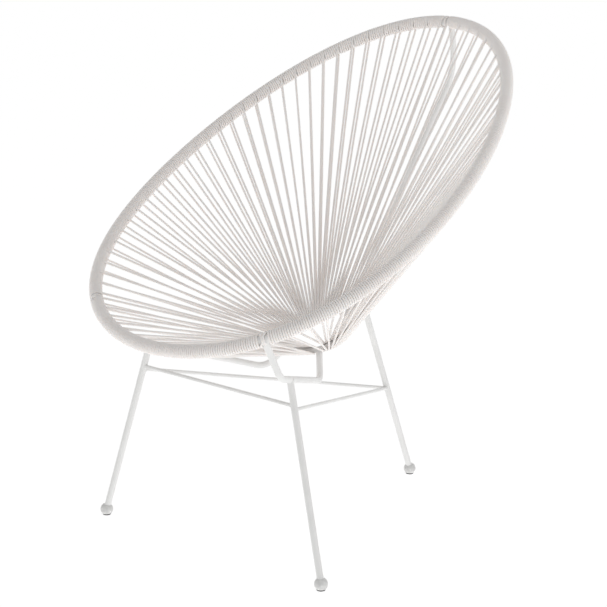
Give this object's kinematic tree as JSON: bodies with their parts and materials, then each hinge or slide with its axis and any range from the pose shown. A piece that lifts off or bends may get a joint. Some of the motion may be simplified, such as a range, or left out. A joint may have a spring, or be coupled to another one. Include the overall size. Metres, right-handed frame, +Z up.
{
  "type": "acapulco chair",
  "caption": "Outdoor lounge chair: an egg-shaped tube hoop and a small ring strung with round cord as a bowl seat, on a three-legged braced bar frame with ball feet.",
  "frame": {"origin": "on the floor under the middle of the chair's width and depth", "axes": "+Z up and the longest extent; the chair faces -Y; +X to the left hand of whoever sits in it, across its mirror plane"},
  "size_m": [0.6968, 0.8252, 0.9002],
  "materials": {
    "powder_coat": "white powder coat on steel, satin with a fine texture",
    "cord": "white PVC cord, soft sheen",
    "foot_plastic": "white moulded plastic, smooth",
    "rubber": "black rubber, matt"
  },
  "bodies": {
    "root": {"hoop_tube": "powder_coat", "seat_ring": "powder_coat", "front_bracket_left": "powder_coat", "front_bracket_right": "powder_coat", "back_spine": "powder_coat", "front_leg_left": "powder_coat", "front_leg_right": "powder_coat", "rear_leg": "powder_coat", "front_brace": "powder_coat", "side_brace_left": "powder_coat", "side_brace_right": "powder_coat", "front_foot_left": "foot_plastic", "front_foot_right": "foot_plastic", "rear_foot": "foot_plastic", "front_pad_left": "rubber", "front_pad_right": "rubber", "rear_pad": "rubber", "seat_cord_1_left": "cord", "seat_cord_1_right": "cord", "seat_cord_2_left": "cord", "seat_cord_2_right": "cord", "seat_cord_3_left": "cord", "seat_cord_3_right": "cord", "seat_cord_4_left": "cord", "seat_cord_4_right": "cord", "seat_cord_5_left": "cord", "seat_cord_5_right": "cord", "seat_cord_6_left": "cord", "seat_cord_6_right": "cord", "seat_cord_7_left": "cord", "seat_cord_7_right": "cord", "seat_cord_8_left": "cord", "seat_cord_8_right": "cord"}
  },
  "joints": []
}
